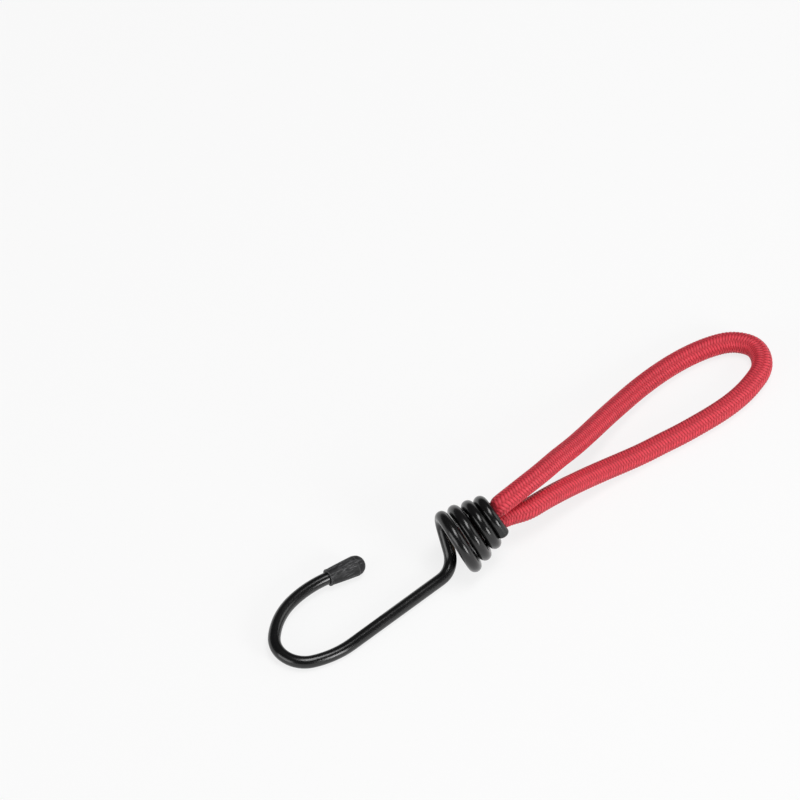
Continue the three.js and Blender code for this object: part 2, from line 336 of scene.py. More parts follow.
cadTurnStep = 1 / winding["cadStepsPerTurn"]
cadSteps = round((winding["turns"] + winding["leadIn"]) / cadTurnStep)
lowestTurn = min(windingPoint(i * cadTurnStep)[2] for i in range(cadSteps))
windingCentre[2] = wireRest + winding["groundClearance"] - lowestTurn

shank = {
    "offset": -2.66 * mm,
    "crossingReach": 6.6 * mm,
    "crossingFoot": -3.95 * mm,
    "footBendRadius": 9 * mm,
    "length": 55 * mm,
    "arcStep": 2.0,  # degrees
    "cornerStep": 3.0,
}
hookArcs = [(38.6 * mm, 26.1), (11.2 * mm, 111.3), (32.6 * mm, 34.4), (49.8 * mm, 21.4)]  # radius, degrees
cap = {
    "length": 16.2 * mm,
    "clearance": 0.3 * mm,
    "wall": 0.55 * mm,
    "domeRadius": 4.05 * mm,
    "lipLength": 0.9 * mm,
    "lipHeight": 0.12 * mm,
    "lipFall": ((0.55, 0.0), (0.8, 0.15), (0.95, 0.5), (1.05, 0.85), (1.2, 1.0)),  # shares of length, height
    "flare": 0.12 * mm,
    "boreDepth": 11.5 * mm,
    "boreShown": 5.75 * mm,
    "bodyFrom": 1.17 * mm,
    "bodySwell": 0.75,
    "bodySteps": 24,
    "cadSides": 16,
    "sides": 72,
    "snug": 0.06 * mm,
    "domeStep": 0.1 * mm,
    "domeRings": 15,
    "edge": 0.1 * mm,
    "edgeSteps": 5,
}
capMouthRadius = wireRadius + cap["clearance"] + cap["wall"]


def hookOutline():  # the hook's line in its own plane, and the way it points at the tip
    points = [np.array([shank["crossingFoot"] - shank["length"], 0.0])]
    heading = math.pi
    for radius, sweep in hookArcs:
        steps = math.ceil(sweep / shank["arcStep"])
        turn = math.radians(sweep) / steps
        chord = 2 * radius * math.sin(turn / 2)
        for _ in range(steps):
            heading -= turn / 2
            points.append(points[-1] + chord * np.array([math.cos(heading), math.sin(heading)]))
            heading -= turn / 2
    return np.array(points), np.array([math.cos(heading), math.sin(heading)])


outline, tipDirection = hookOutline()
domeHeight = (outline[-1] + tipDirection * (cap["length"] - cap["domeRadius"]))[1]
capRest = cap["domeRadius"] * math.cos(math.pi / cap["cadSides"])
hookLean = math.asin((capRest - wireRest) / domeHeight)


def toHookPlane(point):
    x, y = point
    return vec(x, shank["offset"] + y * math.cos(hookLean), wireRest + y * math.sin(hookLean))


capMouth = toHookPlane(outline[-1])
capAxis = unit(toHookPlane(outline[-1] + tipDirection) - capMouth)


def roundedCorner(before, corner, after, radius=None, reach=None):  # an arc given by radius or by reach
    back, onward = unit(before - corner), unit(after - corner)
    opening = math.acos(float(np.dot(back, onward)))
    radius = radius or reach * math.tan(opening / 2)
    reach = reach or radius / math.tan(opening / 2)
    centre = corner + unit(back + onward) * radius / math.sin(opening / 2)
    spoke = corner + back * reach - centre
    pivot = unit(np.cross(onward, back))
    sweep = math.pi - opening
    steps = math.ceil(sweep / math.radians(shank["cornerStep"]))
    return [centre + turned(spoke, pivot, sweep * i / steps) for i in range(steps + 1)]


def wireCentreLine():  # from the free end in the winding to the end inside the cap
    endTurn = winding["turns"] + winding["endRun"]
    narrowEnd = windingPoint(endTurn)
    beyond = unit(narrowEnd - windingPoint(endTurn - cadTurnStep / 2))
    endSteps = wire["endSteps"]
    points = [narrowEnd + beyond * wire["diameter"] * i / endSteps for i in range(endSteps, 0, -1)]
    total = endTurn + winding["leadIn"]
    steps = round(total * winding["stepsPerTurn"])
    points += [windingPoint(endTurn - total * i / steps) for i in range(steps + 1)]
    leaving = points[-1]
    onward = unit(windingPoint(-winding["leadIn"] - cadTurnStep / 4) - leaving)
    crossingTop = leaving + onward * shank["crossingReach"]
    crossingBase = vec(shank["crossingFoot"], shank["offset"], wireRest)
    bend = [toHookPlane(p) for p in outline]
    points += roundedCorner(leaving, crossingTop, crossingBase, reach=shank["crossingReach"])[1:]
    points += roundedCorner(crossingTop, crossingBase, bend[0], radius=shank["footBendRadius"])
    points += bend
    points.append(capMouth + capAxis * (cap["boreDepth"] - cap["clearance"]))
    return np.array(points)


def carriedFrames(points, firstUp):  # section planes carried along the line without twist
    tangents = tangentsOf(points)
    upward = firstUp - tangents[0] * np.dot(firstUp, tangents[0])
    uppers = []
    for tangent in tangents:
        upward = unit(upward - tangent * np.dot(upward, tangent))
        uppers.append(upward)
    uppers = np.array(uppers)
    return np.cross(uppers, tangents), uppers


meanTurnRadius = (winding["wideRadius"] + winding["narrowRadius"]) / 2
windingRun = fullTurn * meanTurnRadius * winding["turns"]  # about how much wire the turns take
wireLine = smoothed(resampled(wireCentreLine(), wire["spacing"]), wire["spacing"], wire["smoothing"])


def hookWire():
    across, upward = carriedFrames(wireLine, windingAxis)
    places = lengthsAlong(wireLine)
    rounding = wire["endRounding"]
    endRings = rounding * (1 - np.cos(np.linspace(0, math.pi / 2, wire["endRings"])))
    stations = np.concatenate([endRings, places[places > rounding + wire["endGap"]]])
    columns = np.concatenate([wireLine, across, upward], axis=1).T
    laid = np.stack([np.interp(stations, places, column) for column in columns], axis=1)
    centres, across, upward = np.split(laid, 3, axis=1)
    inset = np.clip(rounding - stations, 0, rounding)
    inTurns = 1 - smoothstep(stations, windingRun, windingRun + winding["swellingFade"])
    radii = wireRadius + winding["swelling"] * inTurns - rounding + np.sqrt(rounding ** 2 - inset ** 2)
    angles = np.arange(wire["sides"]) / wire["sides"] * fullTurn
    rings = (
        centres[:, None]
        + across[:, None] * (radii[:, None] * np.cos(angles))[..., None]
        + upward[:, None] * (radii[:, None] * np.sin(angles))[..., None]
    )
    return tubeObject("coated_hook", inFrame(rings))


dipCoat = {
    "color": (0.004, 0.004, 0.0042),
    "darkest": (0.003, 0.003, 0.0032),
    "palest": (0.0055, 0.0055, 0.0058),
    "roughness": 0.22,
    "roughnessSpan": (0.2, 0.26),
    "specular": 0.58,
    "smearSize": 9 * mm,
    "scuffSize": 0.7 * mm,
    "scuffColor": (0.04, 0.04, 0.042),
    "scuffAmount": 0.1,
    "sagSize": 3.6 * mm,  # the slow waves of a coat that ran before it set
    "sagDepth": 0.03 * mm,
    "peelSize": 0.8 * mm,
    "peelDepth": 0.002 * mm,
}


def blackCoat():
    made, nodes, shader = material("black_dip_coat", dipCoat)
    place = nodes.place()
    smears = nodes.noise(place, dipCoat["smearSize"], 4, 0.6)
    scuffs = nodes.noise(nodes.stretched(place, (0.35, 1, 1)), dipCoat["scuffSize"], 5, 0.7)
    nodes.plug(nodes.span(smears, 0.3, 0.75, *dipCoat["roughnessSpan"]), shader.inputs["Roughness"])
    tone = nodes.ramp(smears, (0.3, dipCoat["darkest"]), (0.75, dipCoat["palest"]))
    worn = nodes.math("MULTIPLY", nodes.ramp(scuffs, (0.7, 0.0), (0.88, 1.0)), dipCoat["scuffAmount"])
    nodes.plug(nodes.mix(worn, tone, dipCoat["scuffColor"]), shader.inputs["Base Color"])
    sag = nodes.bump(nodes.noise(place, dipCoat["sagSize"], 2), dipCoat["sagDepth"], 0.35)
    peel = nodes.bump(nodes.noise(place, dipCoat["peelSize"], 2), dipCoat["peelDepth"], 0.4, sag)
    nodes.plug(peel, shader.inputs["Normal"])
    return made


coatedHook = hookWire()
dress(coatedHook, blackCoat())
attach(coatedHook, "hook")
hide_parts("hook_wire")
print("stage: hook")


def capProfile():  # radius and distance along the cap, from inside its mouth to the top of its dome
    lip, mouth, edge = cap["lipLength"], capMouthRadius + cap["flare"], cap["edge"]
    bore = wireRadius + cap["snug"]
    bodyStart, bodyEnd = mouth - cap["lipHeight"], cap["domeRadius"]
    domeStart = cap["length"] - cap["domeRadius"] + cap["domeStep"]
    points = [(bore, cap["boreShown"]), (bore, edge), (bore + edge * 0.3, edge * 0.3), (bore + edge, 0)]
    for i in range(cap["edgeSteps"] + 1):
        angle = math.pi / 2 * i / cap["edgeSteps"]
        points.append((mouth - edge + edge * math.sin(angle), edge - edge * math.cos(angle)))
    for t, fall in cap["lipFall"]:
        points.append((mouth - cap["lipHeight"] * fall, lip * t))
    for i in range(1, cap["bodySteps"] + 1):
        t = i / cap["bodySteps"]
        reach = cap["bodyFrom"] + (domeStart - cap["bodyFrom"]) * t
        points.append((bodyStart + (bodyEnd - bodyStart) * t ** cap["bodySwell"], reach))
    dome = cap["domeRadius"] - cap["domeStep"]
    domeBase, domeRise = domeStart + cap["domeStep"], dome - cap["domeStep"]
    for i in range(cap["domeRings"]):
        angle = math.pi / 2 * i / (cap["domeRings"] - 0.5)  # the last ring closes just short of the top
        points.append((dome * math.cos(angle), domeBase + domeRise * math.sin(angle)))
    return points


def tipCap():
    across = unit(np.cross(capAxis, up))
    upward = np.cross(across, capAxis)
    angles = np.arange(cap["sides"]) / cap["sides"] * fullTurn
    rings = []
    for radius, distance in capProfile():
        ring = capMouth + capAxis * distance
        rings.append(ring + radius * (np.cos(angles)[:, None] * upward + np.sin(angles)[:, None] * across))
    return tubeObject("rubber_tip_cap", inFrame(np.array(rings)))


capRubber = {
    "color": (0.02, 0.02, 0.0205),
    "darkest": (0.011, 0.011, 0.0115),
    "palest": (0.018, 0.018, 0.019),
    "roughness": 0.6,
    "roughnessSpan": (0.45, 0.66),
    "specular": 0.3,
    # one pale colour for the real dust and for the painted highlight on the rims
    "dustAndHighlightColor": (0.22, 0.22, 0.225),
    "dustAndHighlightAmount": 0.7,
    "dustOnStreaks": (0.46, 0.7),  # heights of the noise between which the dust sets in
    "dustOnPatches": (0.5, 0.62),
    "ringSize": 0.3 * mm,
    "ringDepth": 0.025 * mm,
    "streakSize": 0.32 * mm,
    "streakDepth": 0.02 * mm,
    "patchSize": 1.9 * mm,
    "rimHighlightReach": 0.35 * mm,  # how far the painted highlight on the rims reaches
    "mouthHighlight": 0.8,
    "domeHighlight": 0.7,
}


def dullRubber():
    made, nodes, shader = material("cap_rubber_dull", capRubber)
    axis = Vector(capAxis)
    across = Vector(np.cross(capAxis, up)).normalized()
    lying = nodes.add("Mapping", vector_type="POINT")
    nodes.plug(nodes.place(), lying.inputs["Vector"])
    lying.inputs["Rotation"].default_value = Matrix((across, axis, across.cross(axis))).to_euler()
    alongCap = lying.outputs[0]  # Y runs along the cap
    rings = nodes.noise(nodes.stretched(alongCap, (0.15, 1, 0.15)), capRubber["ringSize"], 4, 0.6)
    streaks = nodes.noise(nodes.stretched(alongCap, (1, 0.1, 1)), capRubber["streakSize"], 4, 0.65)
    patches = nodes.noise(nodes.stretched(alongCap, (1, 0.18, 1)), capRubber["patchSize"], 3, 0.55)
    split = nodes.add("SeparateXYZ")
    nodes.plug(alongCap, split.inputs[0])
    mouthAt = float(np.dot(inFrame(capMouth), capAxis))
    fromMouth = nodes.math("SUBTRACT", split.outputs[1], mouthAt)
    domeAt = cap["length"] - cap["domeRadius"]
    atMouth = nodes.span(fromMouth, 0, capRubber["rimHighlightReach"], capRubber["mouthHighlight"], 0.0)
    offDome = nodes.math("ABSOLUTE", nodes.math("SUBTRACT", fromMouth, domeAt))
    atDome = nodes.span(offDome, 0, capRubber["rimHighlightReach"], capRubber["domeHighlight"], 0.0)
    onStreaks = nodes.span(streaks, *capRubber["dustOnStreaks"])
    dust = nodes.math("MULTIPLY", onStreaks, nodes.span(patches, *capRubber["dustOnPatches"]))
    # painted highlight along the rims of the mouth and the dome, following the streaks
    rimHighlights = nodes.math("MULTIPLY", nodes.math("MAXIMUM", atMouth, atDome), streaks)
    dustAndHighlight = nodes.math("MULTIPLY", nodes.math("MAXIMUM", dust, rimHighlights), capRubber["dustAndHighlightAmount"])
    base = nodes.ramp(patches, (0.3, capRubber["darkest"]), (0.75, capRubber["palest"]))
    nodes.plug(nodes.mix(dustAndHighlight, base, capRubber["dustAndHighlightColor"]), shader.inputs["Base Color"])
    nodes.plug(nodes.span(patches, 0.3, 0.8, *capRubber["roughnessSpan"]), shader.inputs["Roughness"])
    ringBump = nodes.bump(rings, capRubber["ringDepth"], 0.5)
    nodes.plug(nodes.bump(streaks, capRubber["streakDepth"], 0.5, ringBump), shader.inputs["Normal"])
    return made


rubberCap = tipCap()
dress(rubberCap, dullRubber())
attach(rubberCap, "hook")
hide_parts("tip_cap")
print("stage: cap")

cord = {
    "diameter": 8.0 * mm,
    "length": 338 * mm,
    "wall": 0.75 * mm,
    "endStation": 1.6 * mm,  # stations are measured along the winding's axis
    "clampedUntil": 7 * mm,
    "squeezedFrom": 14.5 * mm,
    "squeezedUntil": 17.1 * mm,
    "freeFrom": 21.2 * mm,
    "cadFreeFrom": 22.6 * mm,
    "legGap": 0.3 * mm,
    "clampedHalfHeight": 2.7 * mm,
    "clampedHalfWidth": 3.7 * mm,
    "gripClearance": 0.4 * mm,
    "widthToHeight": 1.55,
    "ringSpacing": 0.17 * mm,
    "sides": 104,
    "innerSpacing": 2.5 * mm,
    "smoothing": 2.0 * mm,
    "smoothedFrom": 16.1 * mm,
    "squareToAxisUntil": 14.1 * mm,  # sections turn from the winding's axis to the cord's own line
    "squareToCordFrom": 23.2 * mm,
    "legSteps": 90,
    "stepsPerSpan": 40,
    "wireClearance": 0.08 * mm,
    # the painted shade inside the winding reaches this far, then fades out
    "darkUntil": 15 * mm,
    "darkFade": 3 * mm,
}
loopRoute = [  # the loop's middle line, from the upper leg round to the lower one
    vec(0.0314, -0.0041, 0.0229), vec(0.0417, -0.0035, 0.0226), vec(0.0527, -0.0012, 0.0202),
    vec(0.0642, 0.0015, 0.0166), vec(0.0761, 0.0048, 0.013), vec(0.0879, 0.008, 0.01),
    vec(0.0992, 0.0106, 0.0075), vec(0.11, 0.0125, 0.0058), vec(0.1203, 0.0134, 0.0047),
    vec(0.13, 0.0133, 0.0041), vec(0.1391, 0.0121, 0.0039), vec(0.1476, 0.0097, 0.0039),
    vec(0.1551, 0.0056, 0.0039), vec(0.1592, -0.0024, 0.0039), vec(0.1542, -0.0114, 0.0039),
    vec(0.1438, -0.0154, 0.0039), vec(0.134, -0.0168, 0.0039), vec(0.1246, -0.0167, 0.0039),
    vec(0.1154, -0.0158, 0.0039), vec(0.1064, -0.0146, 0.0039), vec(0.0975, -0.013, 0.00395),
    vec(0.0885, -0.0116, 0.0042), vec(0.0792, -0.0101, 0.0051), vec(0.0698, -0.0088, 0.0065),
    vec(0.0599, -0.0081, 0.0085), vec(0.0495, -0.0079, 0.0109), vec(0.0384, -0.0077, 0.0128),
    vec(0.0305, -0.0071, 0.0131),
]
braid = {
    "carriersEachWay": 8,
    "pitch": 1.27 * mm,
    "repeat": 4,  # each yarn passes over two others and under two
    "yarnRelief": 0.28 * mm,
    "yarnRoundness": 0.93,
    "crossingRelief": 0.15 * mm,
    "meanInset": 0.29 * mm,  # taken off again, so that the relief leaves the cord its thickness
    "boreCrest": 0.5,  # the bore's wall gets the painted shade of a yarn's flank
}
cordRadius = cord["diameter"] / 2
endAcross = unit(np.cross(windingAxis, up))
endUpward = np.cross(endAcross, windingAxis)
mouthRadius = winding["narrowRadius"] - wireRadius
squeezedHalfHeight = (mouthRadius - cord["gripClearance"] - cord["legGap"] / 2) / 2


def halfSizes(station):  # half height and half width of one leg
    grip = np.clip((station - cord["clampedUntil"]) / (cord["squeezedFrom"] - cord["clampedUntil"]), 0, 1)
    free = smoothstep(station, cord["squeezedUntil"], cord["freeFrom"])
    squeezedWidth = squeezedHalfHeight * cord["widthToHeight"]
    height = cord["clampedHalfHeight"] + (squeezedHalfHeight - cord["clampedHalfHeight"]) * grip
    width = cord["clampedHalfWidth"] + (squeezedWidth - cord["clampedHalfWidth"]) * grip
    return height + (cordRadius - height) * free, width + (cordRadius - width) * free


def legPoint(station, side):
    lift = side * (halfSizes(station)[0] + cord["legGap"] / 2)
    return windingCentre + windingAxis * station + endUpward * lift


def cordCentreLine():  # the whole cord's line, and each point's station
    inner = np.linspace(cord["endStation"], cord["cadFreeFrom"], cord["legSteps"])
    upper = np.array([legPoint(s, 1) for s in inner])
    lower = np.array([legPoint(s, -1) for s in inner])[::-1]
    free = throughPoints(np.array([upper[-1], *loopRoute, lower[0]]), cord["stepsPerSpan"])
    points = resampled(np.concatenate([upper, free[1:-1], lower]), cord["ringSpacing"])
    calm = smoothed(points, cord["ringSpacing"], cord["smoothing"])
    stations = (points - windingCentre) @ windingAxis
    inWinding = 1 - smoothstep(stations, cord["smoothedFrom"], cord["freeFrom"])
    return calm + (points - calm) * inWinding[:, None], stations


cordLine, cordStation = cordCentreLine()


def cordFrames():
    forward = tangentsOf(cordLine)
    inside = 1 - smoothstep(cordStation, cord["squareToAxisUntil"], cord["squareToCordFrom"])[:, None]
    axis = np.where(np.arange(len(cordLine))[:, None] < len(cordLine) // 2, windingAxis, -windingAxis)
    forward = unit(forward * (1 - inside) + axis * inside)
    across = unit(np.cross(up, forward))
    return across, np.cross(forward, across)


cordAcross, cordUpward = cordFrames()
cordHalfHeight, cordHalfWidth = halfSizes(cordStation)


def braidRelief(along, angle):  # height of the braid above the level at which its yarns cross
    count, repeat = braid["carriersEachWay"], braid["repeat"]
    right = along / braid["pitch"] + count * angle / fullTurn
    left = along / braid["pitch"] - count * angle / fullTurn
    rightIndex, leftIndex = np.floor(right), np.floor(left)

    def ridge(position):  # the round back of one yarn
        centred = 2 * (position - np.floor(position)) - 1
        return braid["yarnRelief"] * np.sqrt(np.clip(1 - braid["yarnRoundness"] * centred ** 2, 0, 1))

    def crown(position, centre):  # a yarn rises as it passes over two others
        return braid["crossingRelief"] * np.cos((position - centre) / repeat * fullTurn)

    overRight = crown(left, rightIndex) + ridge(right)
    overLeft = crown(right, leftIndex + repeat - 1) + ridge(left)
    return np.maximum(overRight, overLeft)


def roomInTurns():  # radius that the turns leave free, however the cord is turned in them
    keep = wireRadius + winding["swelling"] + cord["wireClearance"]
    turns = wireLine[lengthsAlong(wireLine) < windingRun] - windingCentre
    along = turns @ windingAxis
    radii = np.linalg.norm(turns - along[:, None] * windingAxis, axis=1)
    stations = np.arange(winding["roomFrom"], winding["roomUntil"], winding["roomStep"])
    ahead = along - stations[:, None]
    reach = np.sqrt(np.clip(keep ** 2 - ahead ** 2, 0, None))
    room = np.where(np.abs(ahead) < keep, radii - reach, winding["openRoom"]).min(axis=1)
    return stations, room


def pressedClear(points, crests):  # presses points in where their crests would meet the wire
    offset = crests.reshape(-1, 3) - windingCentre
    station = offset @ windingAxis
    outward = offset - station[:, None] * windingAxis
    radius = np.linalg.norm(outward, axis=1)
    over = np.clip(radius - np.interp(station, *roomInTurns()), 0, None)
    pressed = points.reshape(-1, 3) - outward * (over / radius)[:, None]
    print("stage: cord pressed in by up to", round(over.max() / mm, 2), "mm")
    return pressed.reshape(points.shape)


def laidInSections(rows, centres, x, y):
    return centres[:, None] + cordAcross[rows, None] * x[..., None] + cordUpward[rows, None] * y[..., None]


def sectionRings(rows, scale, angles):
    x = cordHalfWidth[rows, None] * np.cos(angles) * scale
    y = cordHalfHeight[rows, None] * np.sin(angles) * scale
    return laidInSections(rows, cordLine[rows], x, y)


def everyRing(spacing):  # rings this far apart, with the last one always among them
    step = round(spacing / cord["ringSpacing"])
    return np.unique(np.concatenate([np.arange(0, len(cordLine), step), [len(cordLine) - 1]]))


def braidedSheath():
    sides, count = cord["sides"], braid["carriersEachWay"]
    places = lengthsAlong(cordLine)
    angles = np.arange(sides) / sides * fullTurn
    relief = braidRelief(places[:, None], angles[None])
    rows = np.arange(len(cordLine))
    outer = sectionRings(rows, 1 + (relief - braid["meanInset"]) / cordRadius, angles)
    crests = sectionRings(rows, 1 + (relief.max() - braid["meanInset"]) / cordRadius, angles)
    outer = pressedClear(outer, crests)
    picked = everyRing(cord["innerSpacing"])
    bore = sectionRings(picked, 1 - cord["wall"] / cordRadius, angles)
    boreFirst = len(rows) * sides
    i = np.arange(sides)
    following = (i + 1) % sides
    lastOuter, lastBore = (len(rows) - 1) * sides, boreFirst + (len(picked) - 1) * sides
    faces = np.concatenate([
        shellFaces(len(rows), sides),
        shellFaces(len(picked), sides, boreFirst, True),
        np.stack([i, boreFirst + i, boreFirst + following, following], axis=1),
        np.stack([lastOuter + i, lastOuter + following, lastBore + following, lastBore + i], axis=1),
    ])
    vertices = inFrame(np.concatenate([outer.reshape(-1, 3), bore.reshape(-1, 3)]))
    piece = meshObject("braided_sheath", vertices, faces)
    mesh = piece.data

    # U counts carriers round the cord, and V counts ribs along it
    ribs = np.repeat(np.concatenate([places, places[picked]]) / braid["pitch"], sides)
    rounds = np.tile(angles / fullTurn * count, len(rows) + len(picked))
    corners = np.empty(len(mesh.loops), int)
    mesh.loops.foreach_get("vertex_index", corners)
    u, v = rounds[corners].reshape(-1, 4), ribs[corners].reshape(-1, 4)
    u = np.where((u.max(axis=1) - u.min(axis=1) > count / 2)[:, None] & (u < count / 2), u + count, u)
    layer = mesh.uv_layers.new(name="braid")
    layer.data.foreach_set("uv", np.stack([u.ravel(), v.ravel()], axis=1).ravel().astype(np.float32))
    top = braid["yarnRelief"] + braid["crossingRelief"]
    crest = np.concatenate([(relief / top).ravel(), np.full(len(picked) * sides, braid["boreCrest"])])
    stations = np.repeat(np.concatenate([cordStation, cordStation[picked]]), sides)
    # painted shade: the cord darkens inside the winding, where the turns keep the light off it
    windingShade = 1 - smoothstep(stations, cord["darkUntil"], cord["darkUntil"] + cord["darkFade"])
    for name, values in (("crest", crest), ("windingShade", windingShade)):
        mesh.attributes.new(name, "FLOAT", "POINT").data.foreach_set("value", values.astype(np.float32))
    return piece


yarn = {
    "color": (0.6, 0.04, 0.06),
    "grooveShade": (0.14, 0.006, 0.015),
    "flankShade": (0.5, 0.023, 0.038),
    "crestHighlight": (0.77, 0.055, 0.082),
    "roughness": 0.55,
    "roughnessSpan": (0.4, 0.56),
    "grooveRoughness": 0.35,  # added in the grooves
    "specular": 0.36,
    "sheen": 0.06,
    "sheenRoughness": 0.4,
    "sheenTint": (1.0, 0.45, 0.5, 1),
    "threads": 3,  # side by side in each yarn
    "threadCreaseShade": 0.88,  # painted shade: brightness in the creases between them
    "threadDepth": 0.05 * mm,
    "fibresAcross": 9.0,
    "fibresAlong": 0.9,
    "fibreTone": (0.84, 1.1),
    "fibreDepth": 0.04 * mm,
    "carrierTone": 0.05,  # how far one yarn is paler or darker than the next
    "fadedSize": 14 * mm,
    "fadedTone": 0.04,
    "windingShadeColor": (0.012, 0.006, 0.007),  # painted shade inside the winding, where the turns keep the light off the cord
    "windingShadeAmount": 0.93,
}


def redBraid():
    made, nodes, shader = material("red_braided_yarn", yarn)
    shader.inputs["Sheen Weight"].default_value = yarn["sheen"]
    shader.inputs["Sheen Roughness"].default_value = yarn["sheenRoughness"]
    shader.inputs["Sheen Tint"].default_value = yarn["sheenTint"]
    split = nodes.add("SeparateXYZ")
    nodes.plug(nodes.add("UVMap", uv_map="braid").outputs[0], split.inputs[0])
    right = nodes.math("ADD", split.outputs[1], split.outputs[0])
    left = nodes.math("SUBTRACT", split.outputs[1], split.outputs[0])
    rightIndex, leftIndex = nodes.math("FLOOR", right), nodes.math("FLOOR", left)
    turn = nodes.math("FLOORED_MODULO", nodes.math("SUBTRACT", rightIndex, leftIndex), float(braid["repeat"]))
    isLeft = nodes.math("GREATER_THAN", turn, 1.5)  # which of the two yarns lies on top
    acrossYarn = nodes.either(isLeft, right, left)
    alongYarn = nodes.either(isLeft, left, right)
    index = nodes.either(isLeft, rightIndex, leftIndex)
    fibrePlace = nodes.add("CombineXYZ")
    nodes.plug(nodes.math("MULTIPLY", acrossYarn, yarn["fibresAcross"]), fibrePlace.inputs[0])
    nodes.plug(nodes.math("MULTIPLY", alongYarn, yarn["fibresAlong"]), fibrePlace.inputs[1])
    nodes.plug(index, fibrePlace.inputs[2])
    fibres = nodes.noise(fibrePlace.outputs[0], 1.0, 4, 0.6)
    wave = nodes.math("SINE", nodes.math("MULTIPLY", acrossYarn, yarn["threads"] * math.pi))
    ends = nodes.math("ABSOLUTE", wave)
    indexPlace = nodes.add("CombineXYZ")
    nodes.plug(nodes.math("FLOORED_MODULO", index, float(braid["carriersEachWay"])), indexPlace.inputs[0])
    nodes.plug(isLeft, indexPlace.inputs[1])
    carrier = nodes.add("TexWhiteNoise", noise_dimensions="2D")
    nodes.plug(indexPlace.outputs[0], carrier.inputs["Vector"])
    crest = nodes.add("Attribute", attribute_name="crest").outputs["Fac"]
    # painted shade in the grooves and on the flanks, painted highlight on the crests, over the relief's own
    # shading
    depth = nodes.ramp(crest, (0.28, yarn["grooveShade"]), (0.6, yarn["flankShade"]), (0.94, yarn["crestHighlight"]))
    faded = nodes.noise(nodes.place(), yarn["fadedSize"], 4, 0.6)
    yarnTone = nodes.math(
        "ADD",
        nodes.span(fibres, 0.25, 0.75, *yarn["fibreTone"]),
        nodes.span(carrier.outputs["Value"], 0, 1, -yarn["carrierTone"], yarn["carrierTone"]),
    )
    tone = nodes.math("ADD", yarnTone, nodes.span(faded, 0.3, 0.7, -yarn["fadedTone"], yarn["fadedTone"]))
    # painted shade in the creases between the threads
    shade = nodes.math("MULTIPLY", tone, nodes.span(ends, 0, 0.6, yarn["threadCreaseShade"], 1.0))
    grey = nodes.add("CombineColor")
    for socket in grey.inputs[:3]:
        nodes.plug(shade, socket)
    yarnOutsideWinding = nodes.mix(1.0, depth, grey.outputs[0], "MULTIPLY")
    # painted shade inside the winding, laid over the yarn's colour
    nearWire = nodes.add("Attribute", attribute_name="windingShade").outputs["Fac"]
    windingShade = nodes.math("MULTIPLY", nearWire, yarn["windingShadeAmount"])
    nodes.plug(nodes.mix(windingShade, yarnOutsideWinding, yarn["windingShadeColor"]), shader.inputs["Base Color"])
    grooves = nodes.math("ADD", windingShade, nodes.span(crest, 0.25, 0.75, yarn["grooveRoughness"], 0.0))
    rough = nodes.math("ADD", nodes.span(fibres, 0.3, 0.7, *yarn["roughnessSpan"]), grooves)
    nodes.plug(nodes.math("MINIMUM", rough, 1.0), shader.inputs["Roughness"])
    threadBump = nodes.bump(ends, yarn["threadDepth"], 0.6)
    nodes.plug(nodes.bump(fibres, yarn["fibreDepth"], 0.7, threadBump), shader.inputs["Normal"])
    return made


sheath = braidedSheath()
dress(sheath, redBraid())
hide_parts("cord_sheath")
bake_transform(sheath)
print("stage: sheath, length in mm", round(lengthsAlong(cordLine)[-1] / mm, 1))

core = {
    "threadsDeep": 3,
    "threadSides": 6,
    "spacing": 3.0 * mm,
    "fill": 0.97,
    "reach": 0.499,  # of the pitch, a thread's half width, so that the outermost ones just fit
    "gap": 0.06 * mm,
    "standOut": 0.7 * mm,
    "uneven": 0.5 * mm,
    "seed": 7,
}


def latexCore():  # threads packed like a honeycomb, from one cut end of the cord to the other
    random = np.random.default_rng(core["seed"])
    deep, sides = core["threadsDeep"], core["threadSides"]
    room = (cordRadius - cord["wall"]) * core["fill"]
    pitch = room / (deep + 0.5)
    spots = []
    for row in range(-deep, deep + 1):
        for column in range(-deep * 2, deep * 2 + 1):
            x, y = (column + row / 2) * pitch, row * pitch * math.sqrt(3) / 2
            if math.hypot(x, y) <= room - pitch * core["reach"]:
                spots.append((x, y))
    picked = everyRing(core["spacing"])
    angles = np.arange(sides) / sides * fullTurn
    radius = pitch / 2 - core["gap"]
    vertices, faces = [], []
    for number, (x, y) in enumerate(spots):
        first = number * len(picked) * sides
        centres = cordLine[picked].copy()
        for end in (0, -1):
            centres[end] -= windingAxis * (core["standOut"] + random.uniform(-1, 1) * core["uneven"])
        px = (x + radius * np.cos(angles))[None] * cordHalfWidth[picked, None] / cordRadius
        py = (y + radius * np.sin(angles))[None] * cordHalfHeight[picked, None] / cordRadius
        vertices.append(laidInSections(picked, centres, px, py).reshape(-1, 3))
        faces += shellFaces(len(picked), sides, first).tolist()
        faces.append([first + i for i in range(sides)][::-1])
        faces.append([first + (len(picked) - 1) * sides + i for i in range(sides)])
    return meshObject("latex_threads", inFrame(np.concatenate(vertices)), faces)


latex = {
    "color": (0.66, 0.53, 0.33),
    "darkest": (0.5, 0.37, 0.2),
    "palest": (0.72, 0.6, 0.4),
    "roughness": 0.55,
    "specular": 0.4,
    "glow": 0.15,  # share of the light that passes under the surface
    "glowDepth": 1 * mm,
    "cloudSize": 1.6 * mm,
    "grainSize": 0.3 * mm,
    "grainDepth": 0.03 * mm,
}


